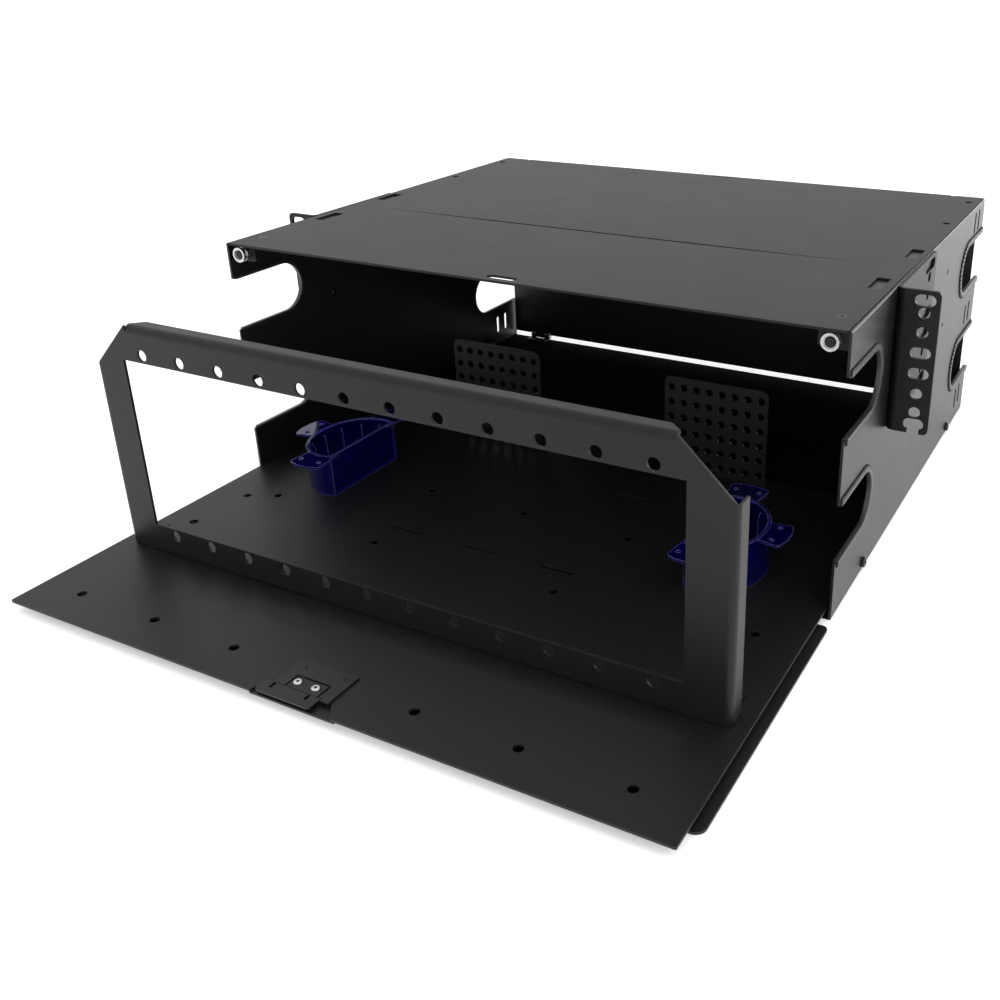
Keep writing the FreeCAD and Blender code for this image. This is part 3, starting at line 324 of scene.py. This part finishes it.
def powder_coat(name, colour, roughness, specular):
    """Fine-textured powder coat: pebbly bump, slight tone drift, lighter specks, and sheet edges painted
    lighter as rubbed wear and as a painted highlight.
    """
    shader = Shader(name, colour, roughness, 0.0, specular)
    dark = [c * 0.94 for c in colour]
    light = [c * 1.06 for c in colour]
    rubbed_and_highlight_colour = [c * 3.0 + 0.03 for c in colour]
    tone = shader.ramp(shader.noise(9, 2), 0.3, 0.7, dark, light)
    normal, edges = bevel_edge_mask(shader, COAT_EDGE)
    patches = shader.span(shader.noise(130, 4), 0.38, 0.66, 0.15, 1.0)
    specks = shader.span(shader.noise(COAT_GRAIN * 0.8, 2), 0.6, 0.78, 0.0, 0.3)
    wear_and_highlight = shader.combine("MAXIMUM", shader.combine("MULTIPLY", edges, patches), specks)
    # sheet edges painted lighter, partly as rubbed wear and partly as a painted highlight of light catching
    # them
    shader.tint(tone, wear_and_highlight, rubbed_and_highlight_colour)
    shader.drive("Roughness", shader.span(shader.noise(30, 3), 0.3, 0.7, roughness - 0.01, roughness + 0.015))
    peel = shader.bump(shader.noise(420, 2), 0.0002, 0.12, normal)
    shader.drive("Normal", shader.bump(shader.noise(COAT_GRAIN, 2, 0.6), 0.00012, 0.45, peel))
    return shader.material


def plated_steel(name, tone, roughness):
    """Plated steel with faint turning marks."""
    shader = Shader(name, (tone, tone, tone), roughness, 1.0)
    shader.drive("Roughness", shader.span(shader.noise(900, 4), 0.3, 0.7, roughness - 0.06, roughness + 0.14))
    shader.drive("Normal", shader.bump(shader.noise(2400, 2), 0.00005, 0.3))
    return shader.material


def matt_moulding(name, tone, roughness, specular):
    """Moulded rubber or matt plastic with a fine grain."""
    shader = Shader(name, (tone, tone, tone), roughness, 0.0, specular)
    shader.drive("Normal", shader.bump(shader.noise(1500, 3), 0.0001, 0.4))
    return shader.material


def blue_plastic(name):
    """Deep blue moulded plastic that lets light through; its edges carry a painted highlight and a painted
    glow.
    """
    shader = Shader(name, (0.006, 0.004, 0.42), 0.08, 0.0, 0.3)
    shader.base.inputs["Transmission Weight"].default_value = 0.92
    shader.base.inputs["IOR"].default_value = 1.47
    shader.base.inputs["Emission Color"].default_value = (0.55, 0.5, 1.0, 1)
    normal, edges = bevel_edge_mask(shader, PLASTIC_HIGHLIGHT_EDGE)
    flow = shader.noise(70, 3)
    tone = shader.ramp(flow, 0.3, 0.7, (0.004, 0.003, 0.28), (0.009, 0.006, 0.46))
    # painted highlight: the edges are tinted lighter than the body
    shader.tint(tone, edges, (0.30, 0.28, 0.95))
    # painted glow: the edges emit light though the plastic is no lamp
    shader.drive("Emission Strength", shader.span(edges, 0.35, 1.0, 0.0, EDGE_PAINTED_GLOW))
    shader.drive("Roughness", shader.span(shader.noise(220, 2), 0.3, 0.7, 0.04, 0.1))
    shader.drive("Normal", shader.bump(flow, 0.0003, 0.12, normal))
    return shader.material


SLOT_MATERIALS = {}
for make_material, looks in ((powder_coat, COATS), (plated_steel, PLATINGS), (matt_moulding, MATT_MOULDINGS)):
    for slot, look in looks.items():
        SLOT_MATERIALS[slot] = make_material(slot, *look)
SLOT_MATERIALS["spool_blue"] = blue_plastic("spool_blue")


def dress_nodes():
    """Gives every CAD node the material of its slot in the record."""
    for part in frame["record"]["subparts"]:
        node = NODES[part["node"]]
        node.data.materials.clear()
        node.data.materials.append(SLOT_MATERIALS[part["material_slot"]])


# ---------------------------------------------------------------- detail pieces
def box_of(node):
    """Lowest corner, highest corner and middle of a CAD node at rest, in millimetres."""
    low, high = [[c / MM for c in corner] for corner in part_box(node)]
    return low, high, [(a + b) / 2 for a, b in zip(low, high)]


def side_of(low, high):
    """Which side of the middle plane a box lies on, 1 or -1, and how far out from it the box reaches."""
    return (1, high[0]) if high[0] > 0 else (-1, -low[0])


def add_piece(name, shape, slot, body, smooth_angle):
    """New piece from (points in millimetres, faces), with its material slot and the body it rides on."""
    vertices, faces = shape
    mesh = bpy.data.meshes.new(name)
    mesh.from_pydata([[c * MM for c in v] for v in vertices], [], faces)
    work = bmesh.new()
    work.from_mesh(mesh)
    bmesh.ops.recalc_face_normals(work, faces=work.faces)
    work.to_mesh(mesh)
    work.free()
    mesh.shade_smooth()
    mesh.set_sharp_from_angle(angle=math.radians(smooth_angle))
    mesh.materials.append(SLOT_MATERIALS[slot])
    piece = bpy.data.objects.new(name, mesh)
    bpy.context.scene.collection.objects.link(piece)
    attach(piece, body)
    return piece


def swept(rings, closed_path=False):
    """Vertices and faces of a closed section swept through rings of equal length, with end caps."""
    count = len(rings[0])
    vertices = [v for ring in rings for v in ring]
    faces = []
    last = len(rings) if closed_path else len(rings) - 1
    for i in range(last):
        j = (i + 1) % len(rings)
        for k in range(count):
            n = (k + 1) % count
            faces.append((i * count + k, i * count + n, j * count + n, j * count + k))
    if not closed_path:
        faces.append(tuple(range(count))[::-1])
        faces.append(tuple((len(rings) - 1) * count + k for k in range(count)))
    return vertices, faces


def lathe(profile, centre, axis, steps, angle=0.0):
    """Round shape from (radius, height) points about an axis of x or z through the centre."""
    turn = {"x": lambda r, h, c, s: (h, r * c, r * s),
            "z": lambda r, h, c, s: (r * c, r * s, h)}[axis]
    rings = []
    for i in range(steps):
        at = 2 * math.pi * i / steps + angle
        ring = [turn(r, h, math.cos(at), math.sin(at)) for r, h in profile]
        rings.append([tuple(a + b for a, b in zip(v, centre)) for v in ring])
    return swept(rings, closed_path=True)


def tube_ring(points, radius):
    """Round bead along a closed, level ring of points."""
    rings = []
    for i, (x, y, z) in enumerate(points):
        before, after = points[i - 1], points[(i + 1) % len(points)]
        dx, dy = after[0] - before[0], after[1] - before[1]
        size = math.hypot(dx, dy)
        nx, ny = dy / size, -dx / size
        ring = []
        for k in range(BEAD_SIDES):
            at = 2 * math.pi * k / BEAD_SIDES
            out = radius * math.cos(at)
            ring.append((x + nx * out, y + ny * out, z + radius * math.sin(at)))
        rings.append(ring)
    return swept(rings, closed_path=True)


def merged(shapes):
    """Several shapes as one."""
    vertices, faces = [], []
    for more, sides in shapes:
        start = len(vertices)
        vertices += more
        faces += [tuple(i + start for i in face) for face in sides]
    return vertices, faces


def trim_section(lap):
    """Points (into the wall, across the wall) of the trim's U section, corners rounded off."""
    inner = -WALL_SHEET - TRIM_SIDE_INSIDE
    lip_along, lip_off = TRIM_LIP
    r = TRIM_CORNER
    return [
        (-TRIM_INSET + r, inner), (TRIM_LAP_INSIDE, inner), (TRIM_LAP_INSIDE, -WALL_SHEET),
        (0, -WALL_SHEET), (0, TRIM_SHADOW_SEAT), (lap - lip_along, TRIM_SHADOW_SEAT), (lap, TRIM_SHADOW_SEAT + lip_off),
        (lap, TRIM_SIDE - 2 * r), (lap - r, TRIM_SIDE - 0.5 * r), (lap - 3 * r, TRIM_SIDE),
        (-TRIM_INSET + 2 * r, TRIM_SIDE), (-TRIM_INSET + 0.5 * r, TRIM_SIDE - 0.4 * r),
        (-TRIM_INSET, TRIM_SIDE - 2 * r), (-TRIM_INSET, inner + r),
    ]


def rim_point(along, straight, radius):
    """Place and outward direction at a length along a cut-out's rim, from its lower lip."""
    arc = math.pi * radius
    if along < straight:
        return along, -radius, 0.0, -1.0
    if along > straight + arc:
        return 2 * straight + arc - along, radius, 0.0, 1.0
    turn = (along - straight) / radius - math.pi / 2
    return straight + radius * math.cos(turn), radius * math.sin(turn), math.cos(turn), math.sin(turn)


def make_edge_trim(node):
    """Edge trim with rounded teeth along its outer flange, following the rim of one cut-out, and a dark seat
    under the teeth that paints the shadow between them and the wall.
    """
    low, high, middle = box_of(node)
    side, outer = side_of(low, high)
    outer_x = outer - TRIM_SIDE
    radius = (high[2] - low[2]) / 2 - TRIM_LAP
    front = middle[1] < 0
    mouth = low[1] if front else high[1]
    into = 1 if front else -1
    straight = high[1] - low[1] - TRIM_LAP - radius
    short = TRIM_SHORT if front else 0.0
    length = 2 * straight + math.pi * radius - 2 * short
    steps = round(length / TRIM_TOOTH) * TRIM_STEPS_PER_TOOTH
    # dark, dull layer under the teeth that paints the shadow in the gaps between them and the wall
    seat = [(0.0, 0.0), (TRIM_LAP, 0.0), (TRIM_LAP, TRIM_SHADOW_SEAT), (0.0, TRIM_SHADOW_SEAT)]
    rings = []
    seat_rings = []
    for i in range(steps + 1):
        y, z, ny, nz = rim_point(short + length * i / steps, straight, radius)
        wave = abs(math.sin(math.pi * i / TRIM_STEPS_PER_TOOTH))
        lap = TRIM_LAP - TRIM_TOOTH_DEPTH * (1 - wave)
        for section, place in ((trim_section(lap), rings), (seat, seat_rings)):
            place.append([(side * (outer_x + x), mouth + into * (y + n * ny), middle[2] + z + n * nz)
                          for n, x in section])
    piece = add_piece(node + "_toothed", swept(rings), "trim_rubber", "chassis", 30)
    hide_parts(node)
    add_piece(node + "_seat", swept(seat_rings), "glide_plastic", "chassis", 30)


def make_latch_rivets():
    """Two domed rivets on the latch's cover."""
    low, high, _ = box_of("latch_cover")
    dome = [(0.0, -RIVET_ROOT), (RIVET_RADIUS, -RIVET_ROOT), (RIVET_RADIUS, RIVET_SKIRT),
            (RIVET_RADIUS * 0.8, RIVET_HEIGHT * 0.7), (RIVET_RADIUS * 0.4, RIVET_HEIGHT), (0.0, RIVET_HEIGHT)]
    for side_name, x in zip(("left", "right"), RIVET_X):
        shape = lathe(dome, (x, low[1] + RIVET_INSET, high[2]), "z", RIVET_STEPS)
        add_piece("latch_rivet_" + side_name, shape, "latch_coat", "tray", 35)


def make_ear_nuts():
    """Hex nut on the inner end of each ear screw."""
    across, along = NUT_CHAMFER
    profile = [(SCREW_HOLE, 0.0), (NUT_RADIUS, 0.0), (NUT_RADIUS, NUT_HEIGHT - along),
               (NUT_RADIUS - across, NUT_HEIGHT), (SCREW_HOLE, NUT_HEIGHT)]
    for level in ("lower", "upper"):
        for side_name in ("left", "right"):
            low, high, _ = box_of("side_wall_" + side_name)
            side, outer = side_of(low, high)
            _, _, (_, y, z) = box_of("ear_screw_%s_%s" % (level, side_name))
            centre = (side * (outer - WALL_SHEET), y, z)
            inward = [(r, -side * h) for r, h in profile]
            shape = lathe(inward, centre, "x", HEX, math.radians(NUT_TURN))
            add_piece("ear_nut_%s_%s" % (level, side_name), shape, "black_screw", "chassis", 20)


def catch_depth(r, c, s):
    """Depth of a catch's middle at a radius and direction: cross recess, domed head or dish."""
    if r <= CROSS_REACH and min(abs(r * c), abs(r * s)) < CROSS_HALF_WIDTH:
        return CROSS_DEPTH
    if r <= CATCH_HEAD_RADIUS:
        return CATCH_HEAD_DEPTH + CATCH_HEAD_CURVE * r * r
    return CATCH_DISH_DEPTH


def make_catch_faces():
    """Dark dish with a small cross-recess screw in the sunk face of each catch."""
    for place, facing in (("front", -1), ("rear", 1)):
        for side_name in ("left", "right"):
            low, high, (x, _, z) = box_of("%s_magnet_%s" % (place, side_name))
            face_y = low[1] if facing < 0 else high[1]
            back_y = face_y - facing * CATCH_BACK_DEPTH
            rings = []
            for i in range(CATCH_STEPS):
                at = 2 * math.pi * (i + 0.5) / CATCH_STEPS
                c, s = math.cos(at), math.sin(at)
                ring = [(x + r * c, face_y - facing * catch_depth(r, c, s), z + r * s) for r in CATCH_RADII]
                ring.append((x + CATCH_DISH_RADIUS * c, back_y, z + CATCH_DISH_RADIUS * s))
                ring.append((x, back_y, z))
                rings.append(ring)
            name = "%s_catch_face_%s" % (place, side_name)
            add_piece(name, swept(rings, closed_path=True), "hinge_coat", "chassis", 25)


def make_socket_shade_plugs():
    """Dark hex bottom in the sockets of the bright screws, a painted shade where the socket's depth lies in
    shadow.
    """
    for screw, body in (("latch_screw", "latch"), ("frame_screw", "tray")):
        for side_name in ("left", "right"):
            node = "%s_%s" % (screw, side_name)
            low, high, (x, y, _) = box_of(node)
            radius = (high[0] - low[0]) / 2 * SOCKET_SHARE
            profile = [(share * radius, h) for share, h in SOCKET_PROFILE]
            add_piece(node + "_socket", lathe(profile, (x, y, high[2]), "z", HEX), "trim_rubber", body, 20)


def spool_outline(half_x, half_y, flat):
    """Oval about (0, 0), cut off flat at -flat, as closed points; the arc ends are where it is cut."""
    end = math.acos(-flat / half_x)
    arc = [-end + 2 * end * i / SPOOL_STEPS for i in range(SPOOL_STEPS + 1)]
    points = [(half_x * math.cos(a), half_y * math.sin(a)) for a in arc]
    corner_y = points[-1][1]
    middle = [(-flat, corner_y * (1 - 2 * (i + 1) / (SPOOL_FLAT_STEPS + 1))) for i in range(SPOOL_FLAT_STEPS)]
    return points + middle


def make_spool_details(side_name):
    """Beads on the rim, inside it and near the foot, inner ribs, and the eyelets of the tabs' holes."""
    low, high, middle = box_of("fibre_spool_" + side_name)
    side, outer = side_of(low, high)
    x0 = outer - SPOOL_SIDE_REACH - SPOOL_HALF_X
    y0 = middle[1]
    half_y = (high[1] - low[1]) / 2 - SPOOL_END_REACH
    top, floor = high[2], low[2] + SPOOL_WALL

    def bead(inset, z, radius):
        outline = spool_outline(SPOOL_HALF_X - inset, half_y - inset, SPOOL_FLAT - inset)
        return tube_ring([(side * (x0 + x), y0 + y, z) for x, y in outline], radius)

    def rib(turn):
        c, s = math.cos(turn), math.sin(turn)
        back = SPOOL_WALL - SPOOL_RIB_SINK
        rings = []
        for z, reach in ((floor - 0.3, 3.4), (floor + 6, 2.6), (top - 8, 2.2), (top - 4, 1.0)):
            front = SPOOL_WALL + reach
            section = ((back, -SPOOL_RIB_ROOT), (front, -SPOOL_RIB_TIP), (front + SPOOL_RIB_NOSE, 0),
                       (front, SPOOL_RIB_TIP), (back, SPOOL_RIB_ROOT))
            rings.append([(side * (x0 + (SPOOL_HALF_X - inset) * c - across * s),
                           y0 + (half_y - inset) * s + across * c, z) for inset, across in section])
        return swept(rings)

    def eyelets(dx, dy, tab_end):
        out = tab_end - SPOOL_HOLE_INSET
        return [lathe(EYELET, (side * (x0 + dx * out - dy * step), y0 + dy * out + dx * step, top),
                      "z", EYELET_STEPS) for step in (-SPOOL_HOLE_STEP, SPOOL_HOLE_STEP)]

    shapes = [bead(SPOOL_BEAD, top - 0.1, SPOOL_BEAD),
              bead(SPOOL_WALL, top - 0.2, SPOOL_BEAD * 0.7),
              bead(SPOOL_BEAD * 0.6, low[2] + SPOOL_FOOT_Z, SPOOL_BEAD * 0.6)]
    shapes += [rib(SPOOL_RIB_SPAN * (2 * i / (SPOOL_RIBS - 1) - 1)) for i in range(SPOOL_RIBS)]
    shapes += eyelets(1, 0, SPOOL_HALF_X + SPOOL_SIDE_REACH)
    for dy in (1, -1):
        shapes += eyelets(0, dy, half_y + SPOOL_END_REACH)
    add_piece("spool_detail_" + side_name, merged(shapes), "spool_blue", "tray", 40)


make_camera()
make_floor()
make_light()
dress_nodes()
for end in ("front", "rear"):
    for level in ("lower", "upper"):
        for side_name in ("left", "right"):
            make_edge_trim("edge_trim_%s_%s_%s" % (end, level, side_name))
make_latch_rivets()
make_ear_nuts()
make_catch_faces()
make_socket_shade_plugs()
make_spool_details("left")
make_spool_details("right")
